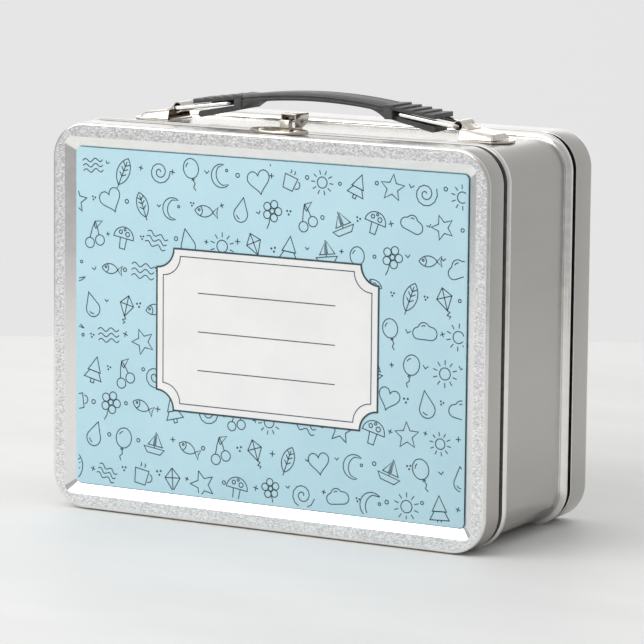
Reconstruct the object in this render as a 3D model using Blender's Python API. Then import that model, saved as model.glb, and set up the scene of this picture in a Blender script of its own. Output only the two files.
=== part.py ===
# Metal lunch box: two drawn pans on a beaded band, hinged front lid, snap catch and folding grip.
# Frame: origin at the middle of the standing face, +X to the right, front towards -Y, +Z up.
import bmesh
import bpy
from math import atan2, cos, hypot, pi, radians, sin, tan
from mathutils import Vector

MM = 0.001

# Case
CASE_WIDTH = 200.0 * MM
CASE_HEIGHT = 159.0 * MM
CASE_DEPTH = 90.0 * MM
CORNER_RADIUS = 15.0 * MM
SHEET = 0.5 * MM
SEAT_GAP = 0.3 * MM
CORNER_STEPS = 10
SHARP_ANGLE = radians(35)

# Pans
EDGE_ROUND = 1.3 * MM
RIM_WIDTH = 4.6 * MM
RECESS_SLOPE = 4.2 * MM
RECESS_DEPTH = 2.6 * MM
RECESS_CORNER = 3.5 * MM
FLOOR_CORNER = 2.0 * MM
LID_FLANGE = 12.0 * MM
BACK_FLANGE = 14.4 * MM
LID_HEM = 1.4 * MM
HEM_LENGTH = 1.6 * MM
PANEL_THICKNESS = 0.4 * MM
PANEL_MARGIN = 0.4 * MM
OUTER_EDGE_STEPS = 3
INNER_EDGE_STEPS = 2

# Band
BAND_INSET = 2.0 * MM
BEAD_PROUD = 0.5 * MM
FRONT_BEAD = 4.8 * MM
REAR_BEAD = 4.6 * MM
FRONT_GAP = 2.6 * MM
REAR_GAP = 2.3 * MM
BAND_LAP = 5.0 * MM
BEAD_STEPS = 7

# Lid hinge
HINGE_INSET = 45.0 * MM
LOOP_RADIUS = 1.05 * MM
LOOP_CLEARANCE = 0.15 * MM
HINGE_PIN_RADIUS = 0.45 * MM
LID_LOOP_LENGTH = 14.0 * MM
BAND_LOOP_LENGTH = 8.0 * MM

# Catch
CATCH_X = 1.5 * MM
CATCH_SHEET = 0.6 * MM
STRIKER_LENGTH = 26.5 * MM
STRIKER_WIDTH = 8.0 * MM
STRIKER_OVERHANG = 1.0 * MM
STRIKER_RIVET_SPACING = 16.0 * MM
TONGUE_WIDTH = 4.2 * MM
TONGUE_STAND = 1.2 * MM
TONGUE_HEIGHT = 5.4 * MM
TONGUE_HOOK = 2.0 * MM
LEVER_WIDTH = 7.0 * MM
LEVER_LENGTH = 10.2 * MM
LEVER_HEIGHT = 5.6 * MM
LEVER_DROP = 1.2 * MM
LEVER_LIFT = 1.2 * MM
LEVER_OVER_BEAD = 3.6 * MM
PIN_FROM_FRONT = 4.8 * MM
PIN_FROM_TOP = 3.3 * MM
CATCH_PIN_RADIUS = 0.6 * MM
CATCH_PIN_CLEARANCE = 0.3 * MM
CATCH_PIN_OVERHANG = 0.4 * MM
EAR_REACH = 2.4 * MM
CATCH_BASE_WIDTH = 15.0 * MM
CATCH_WING_LENGTH = 5.8 * MM
CATCH_RIVET_SPACING = 11.0 * MM

# Handle brackets
BARREL_INSET = 35.0 * MM
BARREL_HEIGHT = 5.8 * MM
BARREL_WALL = 0.85 * MM
BARREL_LENGTH = 10.8 * MM
BRACKET_SHEET = 0.8 * MM
HOOD_OFFSET = 2.4 * MM
HOOD_LENGTH = 14.8 * MM
HOOD_NOSE = 1.2 * MM
HOOD_MOUTH_WIDTH = 18.0 * MM
HOOD_NOSE_WIDTH = 15.0 * MM
HOOD_INNER_HEIGHT = 3.8 * MM
HOOD_OUTER_HEIGHT = 1.9 * MM
PLATE_THICKNESS = 0.7 * MM
PLATE_MARGIN = 0.5 * MM
PLATE_NOSE = 6.4 * MM
PLATE_NOSE_WIDTH = 7.0 * MM
PLATE_REACH = 4.4 * MM
RIVET_SPACING = 6.4 * MM
OUTER_RIVET_INSET = 3.4 * MM

# Rivets
RIVET_HEAD_RADIUS = 1.5 * MM
RIVET_HEAD_HEIGHT = 0.7 * MM
RIVET_SHANK_RADIUS = 0.8 * MM
RIVET_TAIL_HEIGHT = 0.5 * MM
DOME_TURNS = (0.4, 0.75)

# Wire links and grip
WIRE_RADIUS = 0.95 * MM
WIRE_CLEARANCE = 0.3 * MM
LINK_LENGTH = 26.0 * MM
LINK_SLOPE = radians(7.8)
LINK_CORNER = 1.4 * MM
GRIP_WIDTH = 15.6 * MM
GRIP_ROUND = 0.5 * MM
GRIP_CROWN = 15.4 * MM
GRIP_SHOULDER = 12.4 * MM
GRIP_THICKNESS = 3.2 * MM
ROOT_WALL = 3.7 * MM
ROOT_DROP = 7.1 * MM
GUSSET_LENGTH = 9.0 * MM
JAW_TIP_GAP = 9.0 * MM
JAW_TIP_THICKNESS = 1.4 * MM
RIB_COUNT = 5
RIB_HEIGHT = 0.6 * MM
RIB_LENGTH = 3.0 * MM
SLOT_END_GAP = 1.6 * MM
LOWER_JAW_TIP_GAP = 10.0 * MM
LOWER_JAW_TIP_HEIGHT = 3.5 * MM
LOWER_JAW_THICKNESS = 1.8 * MM
ARCH_STEPS = 10
ROUND_STEPS = 20
SOFT_SHARE = 0.3

# Finishes: colour, roughness, metallic
TIN_FINISH = ((0.62, 0.61, 0.59), 0.32, 1.0)
NICKEL_FINISH = ((0.68, 0.65, 0.6), 0.22, 1.0)
WIRE_FINISH = ((0.72, 0.72, 0.71), 0.2, 1.0)
GRIP_FINISH = ((0.045, 0.045, 0.048), 0.42, 0.0)
PRINT_FINISH = ((0.5, 0.76, 0.87), 0.4, 0.0)

# Places that follow from the sizes above
FRONT_Y = -CASE_DEPTH / 2
BACK_Y = CASE_DEPTH / 2
TOP_Z = BEAD_PROUD + CASE_HEIGHT
BAND_TOP = TOP_Z - BAND_INSET
BAND_FLOOR = BEAD_PROUD + BAND_INSET
LID_EDGE_Y = FRONT_Y + LID_FLANGE
BACK_EDGE_Y = BACK_Y - BACK_FLANGE
FRONT_BEAD_Y = LID_EDGE_Y + FRONT_GAP + FRONT_BEAD / 2
REAR_BEAD_Y = BACK_EDGE_Y - REAR_GAP - REAR_BEAD / 2
RECESS_INSET = EDGE_ROUND + RIM_WIDTH
FLOOR_INSET = RECESS_INSET + RECESS_SLOPE
HINGE_Y = LID_EDGE_Y + SEAT_GAP + LOOP_RADIUS
HINGE_Z = BAND_FLOOR - SEAT_GAP - LOOP_RADIUS
BEAD_REAR_Y = FRONT_BEAD_Y + FRONT_BEAD / 2
LEVER_FRONT_Y = BEAD_REAR_Y - LEVER_OVER_BEAD
LEVER_BOTTOM = TOP_Z + BEAD_PROUD + LEVER_LIFT
LEVER_TOP = LEVER_BOTTOM + LEVER_HEIGHT
CATCH_PIN_Y = LEVER_FRONT_Y + PIN_FROM_FRONT
CATCH_PIN_Z = LEVER_TOP - PIN_FROM_TOP
BARREL_X = CASE_WIDTH / 2 - BARREL_INSET
BARREL_Z = BAND_TOP + BARREL_HEIGHT
BARREL_BORE = WIRE_RADIUS + WIRE_CLEARANCE
BARREL_RADIUS = BARREL_BORE + BARREL_WALL
PLATE_BOTTOM = BAND_TOP + SEAT_GAP
PLATE_TOP = PLATE_BOTTOM + PLATE_THICKNESS
HOOD_BOTTOM = PLATE_TOP + SEAT_GAP
HOOD_INNER_X = BARREL_X + HOOD_OFFSET
HOOD_TIP_X = HOOD_INNER_X + HOOD_LENGTH
LEG_Y = BARREL_LENGTH / 2 + LINK_CORNER
SLOT_X = BARREL_X - LINK_LENGTH * cos(LINK_SLOPE) - WIRE_RADIUS - SLOT_END_GAP
ROOT_X = SLOT_X - ROOT_WALL
JAW_TIP_X = BARREL_X - JAW_TIP_GAP
LOWER_JAW_TIP_X = BARREL_X - LOWER_JAW_TIP_GAP
LOWER_JAW_WIDTH = BARREL_LENGTH


# Mesh helpers
def clear_scene():
    for item in list(bpy.data.objects):
        bpy.data.objects.remove(item, do_unlink=True)


def add_object(name, mesh):
    obj = bpy.data.objects.new(name, mesh)
    bpy.context.scene.collection.objects.link(obj)
    return obj


def loft(name, rings, closed=False):
    """Skin rings of equal count; a closed loft joins its last ring to its first."""
    bm = bmesh.new()
    rows = [[bm.verts.new(point) for point in ring] for ring in rings]
    count = len(rows[0])
    last = len(rows) if closed else len(rows) - 1
    for i in range(last):
        low, high = rows[i], rows[(i + 1) % len(rows)]
        for j in range(count):
            k = (j + 1) % count
            bm.faces.new((low[j], low[k], high[k], high[j]))
    if not closed:
        bm.faces.new(rows[0])
        bm.faces.new(rows[-1])
    bmesh.ops.recalc_face_normals(bm, faces=bm.faces)
    mesh = bpy.data.meshes.new(name)
    bm.to_mesh(mesh)
    bm.free()
    return add_object(name, mesh)


def combine(target, tool, operation):
    """Apply a Boolean to the target and drop the tool."""
    modifier = target.modifiers.new(operation.title(), "BOOLEAN")
    modifier.operation = operation
    modifier.solver = "EXACT"
    modifier.object = tool
    bpy.context.view_layer.update()
    graph = bpy.context.evaluated_depsgraph_get()
    mesh = bpy.data.meshes.new_from_object(target.evaluated_get(graph))
    target.modifiers.clear()
    target.data = mesh
    mesh.name = target.name
    bpy.data.objects.remove(tool, do_unlink=True)


def case_ring(inset, y, corner=None):
    """Rounded rectangle of the case, drawn in from its outline, at one depth."""
    radius = corner or CORNER_RADIUS - inset
    side = CASE_WIDTH / 2 - inset - radius
    low = BEAD_PROUD + inset + radius
    high = TOP_Z - inset - radius
    points = []
    for quarter, (cx, cz) in enumerate(((side, high), (-side, high), (-side, low), (side, low))):
        for step in range(CORNER_STEPS + 1):
            angle = (quarter + step / CORNER_STEPS) * pi / 2
            points.append((cx + radius * cos(angle), y, cz + radius * sin(angle)))
    return points


def circle(radius, steps=ROUND_STEPS):
    return [(radius * cos(2 * pi * i / steps), radius * sin(2 * pi * i / steps)) for i in range(steps)]


def prism(name, outline, axis, low, high):
    """Extrude a flat outline: axis X takes (y, z), axis Y takes (x, z), axis Z takes (x, y)."""
    def place(a, b, along):
        return {"X": (along, a, b), "Y": (a, along, b), "Z": (a, b, along)}[axis]
    return loft(name, [[place(a, b, along) for a, b in outline] for along in (low, high)])


def rectangle(a0, a1, b0, b1):
    return [(a0, b0), (a1, b0), (a1, b1), (a0, b1)]


def round_bar(name, axis, centre, radius, low, high):
    outline = [(centre[0] + a, centre[1] + b) for a, b in circle(radius)]
    return prism(name, outline, axis, low, high)


def tube_x(name, y, z, outer, bore, low, high):
    rings = []
    for radius, x in ((outer, low), (outer, high), (bore, high), (bore, low)):
        rings.append([(x, y + a, z + b) for a, b in circle(radius)])
    return loft(name, rings, closed=True)


def finish(obj, look, origin=(0, 0, 0)):
    """Give the piece its material and put its origin on its own axis."""
    colour, roughness, metallic = look
    material = bpy.data.materials.new(obj.name)
    material.use_nodes = True
    shader = material.node_tree.nodes["Principled BSDF"]
    shader.inputs["Base Color"].default_value = (*colour, 1)
    shader.inputs["Roughness"].default_value = roughness
    shader.inputs["Metallic"].default_value = metallic
    obj.data.materials.clear()
    obj.data.materials.append(material)
    for vertex in obj.data.vertices:
        vertex.co -= Vector(origin)
    obj.location = origin
    obj.data.shade_smooth()
    obj.data.set_sharp_from_angle(angle=SHARP_ANGLE)
    return obj


def tin(obj, origin=(0, 0, 0)):
    return finish(obj, TIN_FINISH, origin)


def nickel(obj, origin=(0, 0, 0)):
    return finish(obj, NICKEL_FINISH, origin)


def wire_steel(obj, origin=(0, 0, 0)):
    return finish(obj, WIRE_FINISH, origin)


# Case shells
def pan(name, side, flange, hem):
    """Drawn pan: side -1 is the front lid, side 1 the back; depths run inwards from its face."""
    lean = SHEET * tan(atan2(RECESS_DEPTH, RECESS_SLOPE) / 2)
    inner = EDGE_ROUND - SHEET
    path = [(FLOOR_INSET - lean, RECESS_DEPTH + SHEET, FLOOR_CORNER + lean)]
    path += [(RECESS_INSET - lean, SHEET, RECESS_CORNER + lean)]
    for step in range(INNER_EDGE_STEPS + 1):
        angle = pi / 2 * step / INNER_EDGE_STEPS
        path.append((EDGE_ROUND - inner * sin(angle), EDGE_ROUND - inner * cos(angle), None))
    edge = flange - HEM_LENGTH
    path += [(SHEET, edge, None), (hem, edge, None), (hem, flange, None), (0, flange, None)]
    for step in range(OUTER_EDGE_STEPS, -1, -1):
        angle = pi / 2 * step / OUTER_EDGE_STEPS
        path.append((EDGE_ROUND - EDGE_ROUND * sin(angle), EDGE_ROUND - EDGE_ROUND * cos(angle), None))
    path += [(RECESS_INSET, 0, RECESS_CORNER), (FLOOR_INSET, RECESS_DEPTH, FLOOR_CORNER)]
    face = side * CASE_DEPTH / 2
    return loft(name, [case_ring(inset, face - side * depth, corner) for inset, depth, corner in path])


def bead(centre, width, offset):
    """Half-round bead with a flat land on its crest; offset gives the inner skin of the pressing."""
    half = width / 2 - offset
    land = sin(pi * (BEAD_STEPS // 2) / BEAD_STEPS)
    points = []
    for step in range(BEAD_STEPS + 1):
        angle = pi - pi * step / BEAD_STEPS
        rise = (BAND_INSET + BEAD_PROUD) * sin(angle) / land
        points.append((BAND_INSET + offset - rise, centre + half * cos(angle)))
    return points


def band():
    front = LID_EDGE_Y - BAND_LAP
    rear = BACK_EDGE_Y + BAND_LAP
    outer = [(BAND_INSET, front)] + bead(FRONT_BEAD_Y, FRONT_BEAD, 0)
    outer += bead(REAR_BEAD_Y, REAR_BEAD, 0) + [(BAND_INSET, rear)]
    skin = BAND_INSET + SHEET
    inner = [(skin, front)] + bead(FRONT_BEAD_Y, FRONT_BEAD, SHEET)
    inner += bead(REAR_BEAD_Y, REAR_BEAD, SHEET) + [(skin, rear)]
    rings = [case_ring(inset, y) for inset, y in outer + inner[::-1]]
    return loft("body_band", rings, closed=True)


def print_panel():
    inset = FLOOR_INSET + PANEL_MARGIN
    rear = FRONT_Y + RECESS_DEPTH - SEAT_GAP
    depths = (rear, rear - PANEL_THICKNESS)
    return loft("print_panel", [case_ring(inset, y, FLOOR_CORNER) for y in depths])


def rivet(name, x, y, seat, depth):
    """Domed rivet: its head sits on the seat, its shank runs down to a flat tail."""
    head = seat + SEAT_GAP
    tail = seat - depth - SEAT_GAP
    profile = [(RIVET_SHANK_RADIUS, tail - RIVET_TAIL_HEIGHT), (RIVET_HEAD_RADIUS, tail - RIVET_TAIL_HEIGHT)]
    profile += [(RIVET_HEAD_RADIUS, tail), (RIVET_SHANK_RADIUS, tail)]
    profile += [(RIVET_SHANK_RADIUS, head), (RIVET_HEAD_RADIUS, head)]
    for turn in DOME_TURNS:
        angle = turn * pi / 2
        profile.append((RIVET_HEAD_RADIUS * cos(angle), head + RIVET_HEAD_HEIGHT * sin(angle)))
    rings = [[(x + a, y + b, z) for a, b in circle(radius)] for radius, z in profile]
    return nickel(loft(name, rings))


def rivet_hole(target, x, y, low, high):
    radius = RIVET_SHANK_RADIUS + SEAT_GAP
    combine(target, round_bar("cutter", "Z", (x, y), radius, low, high), "DIFFERENCE")


# Hinge
def hinge(label, centre):
    bore = HINGE_PIN_RADIUS + LOOP_CLEARANCE
    axis = (centre, HINGE_Y, HINGE_Z)
    half = LID_LOOP_LENGTH / 2
    lid_loop = tube_x(f"hinge_lid_loop_{label}", HINGE_Y, HINGE_Z, LOOP_RADIUS, bore, centre - half, centre + half)
    tin(lid_loop, axis)
    near = half + SEAT_GAP
    far = near + BAND_LOOP_LENGTH
    for end, low, high in (("a", centre - far, centre - near), ("b", centre + near, centre + far)):
        name = f"hinge_band_loop_{label}_{end}"
        tin(tube_x(name, HINGE_Y, HINGE_Z, LOOP_RADIUS, bore, low, high))
    pin = round_bar(f"hinge_pin_{label}", "X", (HINGE_Y, HINGE_Z), HINGE_PIN_RADIUS, centre - far, centre + far)
    wire_steel(pin)


# Catch
def lens_outline(length, width, cx, cy):
    """Pointed oval from two equal arcs."""
    half, rise = length / 2, width / 2
    radius = (half * half + rise * rise) / (2 * rise)
    span = atan2(half, radius - rise)
    points = []
    for sign in (1, -1):
        for step in range(ARCH_STEPS):
            angle = span - 2 * span * step / ARCH_STEPS
            points.append((cx + sign * radius * sin(angle), cy + sign * (radius * cos(angle) - radius + rise)))
    return points


def striker():
    """Oval plate on the lid's top flange with a hooked tongue behind it."""
    seat = TOP_Z + SEAT_GAP
    top = seat + CATCH_SHEET
    plate_y = LID_EDGE_Y + STRIKER_OVERHANG - STRIKER_WIDTH / 2
    plate = prism("latch_striker", lens_outline(STRIKER_LENGTH, STRIKER_WIDTH, CATCH_X, plate_y), "Z", seat, top)
    front = plate_y
    stand = LID_EDGE_Y + TONGUE_STAND
    ledge = TOP_Z + BEAD_PROUD + SEAT_GAP
    height = ledge + TONGUE_HEIGHT
    hook = stand + TONGUE_HOOK
    path = [(front, seat), (LID_EDGE_Y, seat), (stand, ledge), (stand, height - CATCH_SHEET)]
    path += [(hook, height - CATCH_SHEET), (hook, height), (stand - CATCH_SHEET, height)]
    path += [(stand - CATCH_SHEET, ledge + CATCH_SHEET), (LID_EDGE_Y - CATCH_SHEET, top), (front, top)]
    half = TONGUE_WIDTH / 2
    combine(plate, prism("tongue", path, "X", CATCH_X - half, CATCH_X + half), "UNION")
    lid = bpy.data.objects["front_lid"]
    rivet_y = LID_EDGE_Y - HEM_LENGTH - RIVET_HEAD_RADIUS - SEAT_GAP
    for label, side in (("left", -1), ("right", 1)):
        x = CATCH_X + side * STRIKER_RIVET_SPACING / 2
        depth = CATCH_SHEET + SEAT_GAP + SHEET
        rivet_hole(plate, x, rivet_y, seat - SEAT_GAP, top + SEAT_GAP)
        rivet_hole(lid, x, rivet_y, TOP_Z - SHEET - SEAT_GAP, TOP_Z + SEAT_GAP)
        rivet(f"striker_rivet_{label}", x, rivet_y, top, depth)
    return plate


def catch_base():
    """Riveted foot with two ears that carry the lever's pin."""
    seat = BAND_TOP + SEAT_GAP
    top = seat + CATCH_SHEET
    front = BEAD_REAR_Y + SEAT_GAP
    rear = CATCH_PIN_Y + EAR_REACH
    half = CATCH_BASE_WIDTH / 2
    wing = LEVER_WIDTH / 2 + 2 * SEAT_GAP
    wing_rear = front + CATCH_WING_LENGTH
    plan = [(-half, front), (half, front), (half, wing_rear), (wing, wing_rear), (wing, rear)]
    plan += [(-wing, rear), (-wing, wing_rear), (-half, wing_rear)]
    base = prism("latch_base", [(CATCH_X + x, y) for x, y in plan], "Z", seat, top)
    outline = [(front, seat), (rear, seat)]
    for step in range(ROUND_STEPS // 2 + 1):
        angle = pi * step / (ROUND_STEPS // 2)
        radius = CATCH_PIN_RADIUS + CATCH_PIN_CLEARANCE + CATCH_SHEET
        outline.append((CATCH_PIN_Y + radius * cos(angle), CATCH_PIN_Z + radius * sin(angle)))
    face = LEVER_WIDTH / 2 - CATCH_SHEET - SEAT_GAP
    for side in (-1, 1):
        low, high = sorted((CATCH_X + side * face, CATCH_X + side * (face - CATCH_SHEET)))
        combine(base, prism("ear", outline, "X", low, high), "UNION")
    bore = CATCH_PIN_RADIUS + CATCH_PIN_CLEARANCE
    reach = LEVER_WIDTH
    drill = round_bar("cutter", "X", (CATCH_PIN_Y, CATCH_PIN_Z), bore, CATCH_X - reach, CATCH_X + reach)
    combine(base, drill, "DIFFERENCE")
    body = bpy.data.objects["body_band"]
    rivet_y = front + CATCH_WING_LENGTH / 2
    for label, side in (("left", -1), ("right", 1)):
        x = CATCH_X + side * CATCH_RIVET_SPACING / 2
        rivet_hole(base, x, rivet_y, seat - SEAT_GAP, top + SEAT_GAP)
        rivet_hole(body, x, rivet_y, BAND_TOP - SHEET - SEAT_GAP, BAND_TOP + SEAT_GAP)
        rivet(f"latch_base_rivet_{label}", x, rivet_y, top, CATCH_SHEET + SEAT_GAP + SHEET)
    return base


def lever():
    """Channel-shaped lever, open to the front and below, with its cheeks cut back behind the pin."""
    rear = LEVER_FRONT_Y + LEVER_LENGTH
    rear_top = LEVER_TOP - LEVER_DROP
    cut = CATCH_PIN_Z - CATCH_PIN_RADIUS
    outline = [(LEVER_FRONT_Y, LEVER_BOTTOM), (CATCH_PIN_Y + EAR_REACH / 2, LEVER_BOTTOM), (rear, cut)]
    outline += [(rear, rear_top), (LEVER_FRONT_Y, LEVER_TOP)]
    half = LEVER_WIDTH / 2
    body = prism("latch_lever", outline, "X", CATCH_X - half, CATCH_X + half)
    reach = LEVER_LENGTH
    under = [(LEVER_FRONT_Y - reach, LEVER_BOTTOM - reach), (rear + reach, LEVER_BOTTOM - reach)]
    slope = LEVER_DROP / LEVER_LENGTH
    under += [(rear + reach, rear_top - CATCH_SHEET - slope * reach)]
    under += [(LEVER_FRONT_Y - reach, LEVER_TOP - CATCH_SHEET + slope * reach)]
    inside = half - CATCH_SHEET
    combine(body, prism("cutter", under, "X", CATCH_X - inside, CATCH_X + inside), "DIFFERENCE")
    bore = CATCH_PIN_RADIUS + CATCH_PIN_CLEARANCE
    drill = round_bar("cutter", "X", (CATCH_PIN_Y, CATCH_PIN_Z), bore, CATCH_X - LEVER_WIDTH, CATCH_X + LEVER_WIDTH)
    combine(body, drill, "DIFFERENCE")
    return body


# Handle
def bracket_plan(side, margin, tip, corner, reach):
    """Plan outline of a bracket piece: sides that close a little, then an end with rounded corners."""
    mouth_y = HOOD_MOUTH_WIDTH / 2 + margin
    nose_y = HOOD_NOSE_WIDTH / 2 + margin
    along, across = corner
    points = [(HOOD_INNER_X - reach, mouth_y), (HOOD_INNER_X - reach, -mouth_y)]
    for turn, centre in ((-1, across - nose_y), (0, nose_y - across)):
        for step in range(CORNER_STEPS + 1):
            angle = (turn + step / CORNER_STEPS) * pi / 2
            points.append((tip - along + along * cos(angle), centre + across * sin(angle)))
    return [(side * x, y) for x, y in points]


def hood_block(name, side, margin, reach, low, drop):
    """Wedge over the bracket plan whose top falls from the mouth to the nose."""
    fall = (HOOD_INNER_HEIGHT - HOOD_OUTER_HEIGHT) / HOOD_LENGTH
    corner = HOOD_NOSE + margin
    plan = bracket_plan(side, margin, HOOD_TIP_X + margin, (corner, corner), reach)
    crest = HOOD_BOTTOM + HOOD_INNER_HEIGHT - drop
    base = [(x, y, low) for x, y in plan]
    return loft(name, [base, [(x, y, crest - fall * (abs(x) - HOOD_INNER_X)) for x, y in plan]])


def bracket(label, side):
    """Base plate, a sloping hood on it and a barrel rolled from the hood's roof."""
    corner = (PLATE_NOSE, PLATE_NOSE_WIDTH)
    plan = bracket_plan(side, PLATE_MARGIN, HOOD_TIP_X + PLATE_REACH, corner, PLATE_MARGIN)
    plate = prism(f"bracket_plate_{label}", plan, "Z", PLATE_BOTTOM, PLATE_TOP)
    hood = hood_block(f"bracket_hood_{label}", side, 0, 0, HOOD_BOTTOM, 0)
    low = HOOD_BOTTOM - BRACKET_SHEET
    combine(hood, hood_block("cutter", side, -BRACKET_SHEET, BRACKET_SHEET, low, BRACKET_SHEET), "DIFFERENCE")
    centre = (side * BARREL_X, BARREL_Z)
    long = BARREL_LENGTH / 2 - SEAT_GAP
    roof = HOOD_BOTTOM + HOOD_INNER_HEIGHT
    lap_x = HOOD_INNER_X + BRACKET_SHEET
    strap = [(BARREL_X, BARREL_Z - BARREL_RADIUS), (lap_x, roof - BRACKET_SHEET), (lap_x, roof - SEAT_GAP)]
    strap += [(BARREL_X + BARREL_RADIUS, BARREL_Z)]
    combine(hood, prism("strap", [(side * x, z) for x, z in strap], "Y", -long, long), "UNION")
    combine(hood, round_bar("barrel", "Y", centre, BARREL_RADIUS, -long, long), "UNION")
    combine(hood, round_bar("cutter", "Y", centre, BARREL_BORE, -HOOD_MOUTH_WIDTH, HOOD_MOUTH_WIDTH), "DIFFERENCE")

    body = bpy.data.objects["body_band"]
    for end, inset in (("outer", OUTER_RIVET_INSET), ("inner", OUTER_RIVET_INSET + RIVET_SPACING)):
        x = side * (HOOD_TIP_X - inset)
        rivet_hole(plate, x, 0, PLATE_BOTTOM - SEAT_GAP, PLATE_TOP + SEAT_GAP)
        rivet_hole(body, x, 0, BAND_TOP - SHEET - SEAT_GAP, BAND_TOP + SEAT_GAP)
        rivet(f"bracket_rivet_{label}_{end}", x, 0, PLATE_TOP, PLATE_THICKNESS + SEAT_GAP + SHEET)
    nickel(plate)
    nickel(hood)


def link(label, side):
    """Closed wire loop: one end turns in the barrel, the other lies in the grip's slot."""
    corners = ((0, -LEG_Y, pi), (LINK_LENGTH, -LEG_Y, 1.5 * pi), (LINK_LENGTH, LEG_Y, 0), (0, LEG_Y, 0.5 * pi))
    path = []
    for along, y, start in corners:
        inward = LINK_CORNER if along == 0 else along - LINK_CORNER
        across = y - LINK_CORNER if y > 0 else y + LINK_CORNER
        for turn in (0.0, 1 / 3, 2 / 3, 1.0):
            angle = start + turn * pi / 2
            path.append(Vector((inward + LINK_CORNER * cos(angle), across + LINK_CORNER * sin(angle), 0)))
    rings = []
    for i, point in enumerate(path):
        tangent = (path[(i + 1) % len(path)] - path[i - 1]).normalized()
        out = Vector((tangent.y, -tangent.x, 0))
        ring = []
        for a, b in circle(WIRE_RADIUS, ROUND_STEPS - 2):
            spot = point + out * a
            x = BARREL_X - spot.x * cos(LINK_SLOPE) + b * sin(LINK_SLOPE)
            z = BARREL_Z + spot.x * sin(LINK_SLOPE) + b * cos(LINK_SLOPE)
            ring.append((side * x, spot.y, z))
        rings.append(ring)
    wire = loft(f"wire_link_{label}", rings, closed=True)
    wire_steel(wire, (side * BARREL_X, 0, BARREL_Z))


def leg_height(x):
    return BARREL_Z + (BARREL_X - x) * tan(LINK_SLOPE)


def offset_outline(points, amount):
    """Draw a closed outline in by an amount along its corner bisectors."""
    moved = []
    count = len(points)
    area = sum(points[i - 1][0] * points[i][1] - points[i][0] * points[i - 1][1] for i in range(count))
    turn = 1 if area > 0 else -1
    for i, (x, z) in enumerate(points):
        ax, az = x - points[i - 1][0], z - points[i - 1][1]
        bx, bz = points[(i + 1) % count][0] - x, points[(i + 1) % count][1] - z
        la, lb = hypot(ax, az), hypot(bx, bz)
        nx, nz = -(az / la + bz / lb), ax / la + bx / lb
        size = max(hypot(nx, nz), 1.0)
        moved.append((x + turn * amount * 2 * nx / size ** 2, z + turn * amount * 2 * nz / size ** 2))
    return moved


def soft_prism(name, outline, half, radius):
    """Extrude an outline across the grip with rounded long edges."""
    part = SOFT_SHARE * radius
    steps = ((half, radius), (half - part, part), (half - radius, 0))
    rows = [(-y, inset) for y, inset in steps] + [(y, inset) for y, inset in steps[::-1]]
    rings = [[(x, y, z) for x, z in offset_outline(outline, inset)] for y, inset in rows]
    return loft(name, rings)


def grip_side():
    """Right half of the grip seen from the front: arch, gusset, root and upper jaw."""
    crown = BAND_TOP + GRIP_CROWN
    shoulder = BAND_TOP + GRIP_SHOULDER
    root = BAND_TOP + ROOT_DROP
    rise = WIRE_RADIUS + WIRE_CLEARANCE

    def arch(x):
        return crown - (crown - shoulder) * (x / SLOT_X) ** 2

    top = [(SLOT_X * i / ARCH_STEPS, arch(SLOT_X * i / ARCH_STEPS)) for i in range(1, ARCH_STEPS + 1)]
    tip = leg_height(JAW_TIP_X) + rise
    under = [(JAW_TIP_X, tip + JAW_TIP_THICKNESS), (JAW_TIP_X, tip), (SLOT_X, leg_height(SLOT_X) + rise)]
    gusset = [(SLOT_X, root), (ROOT_X, root)]
    start = ROOT_X - GUSSET_LENGTH
    for i in range(1, ARCH_STEPS + 1):
        share = i / ARCH_STEPS
        x = ROOT_X - GUSSET_LENGTH * share
        blend = 1 - (1 - share) ** 2
        gusset.append((x, root + (arch(start) - GRIP_THICKNESS - root) * blend))
    for i in (2, 1):
        x = start * i / 3
        gusset.append((x, arch(x) - GRIP_THICKNESS))
    return top + under + gusset


def rib(side, index):
    """Cross rib on the upper jaw, higher towards the tip."""
    start = BAND_TOP + GRIP_SHOULDER
    end = leg_height(JAW_TIP_X) + WIRE_RADIUS + WIRE_CLEARANCE + JAW_TIP_THICKNESS
    fall = (start - end) / (JAW_TIP_X - SLOT_X)
    pitch = (JAW_TIP_X - SLOT_X) / RIB_COUNT
    outer = SLOT_X + pitch * (index + 1) - GRIP_ROUND
    inner = outer - RIB_LENGTH

    def jaw_top(x):
        return start - fall * (x - SLOT_X)

    outline = [(inner, jaw_top(inner)), (inner, jaw_top(inner) - GRIP_ROUND), (outer, jaw_top(outer) - GRIP_ROUND)]
    outline += [(outer, jaw_top(outer) + RIB_HEIGHT)]
    half = GRIP_WIDTH / 2 - 2 * GRIP_ROUND
    return prism("rib", [(side * x, z) for x, z in outline], "Y", -half, half)


def grip():
    right = grip_side()
    root = BAND_TOP + ROOT_DROP
    crown = BAND_TOP + GRIP_CROWN
    left = [(-x, z) for x, z in right[::-1]]
    outline = [(0, crown)] + right + [(0, crown - GRIP_THICKNESS)] + left
    body = soft_prism("handle_grip", outline, GRIP_WIDTH / 2, GRIP_ROUND)
    tip = BAND_TOP + LOWER_JAW_TIP_HEIGHT
    overlap = GRIP_ROUND
    for side in (-1, 1):
        jaw = [(ROOT_X, root), (LOWER_JAW_TIP_X - LOWER_JAW_THICKNESS, tip), (LOWER_JAW_TIP_X, tip + GRIP_ROUND)]
        jaw += [(LOWER_JAW_TIP_X, tip + LOWER_JAW_THICKNESS), (SLOT_X, root + LOWER_JAW_THICKNESS - overlap)]
        jaw += [(ROOT_X, root + LOWER_JAW_THICKNESS)]
        shape = soft_prism("jaw", [(side * x, z) for x, z in jaw], LOWER_JAW_WIDTH / 2, GRIP_ROUND / 2)
        combine(body, shape, "UNION")
        for index in range(RIB_COUNT):
            combine(body, rib(side, index), "UNION")
    finish(body, GRIP_FINISH)


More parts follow.
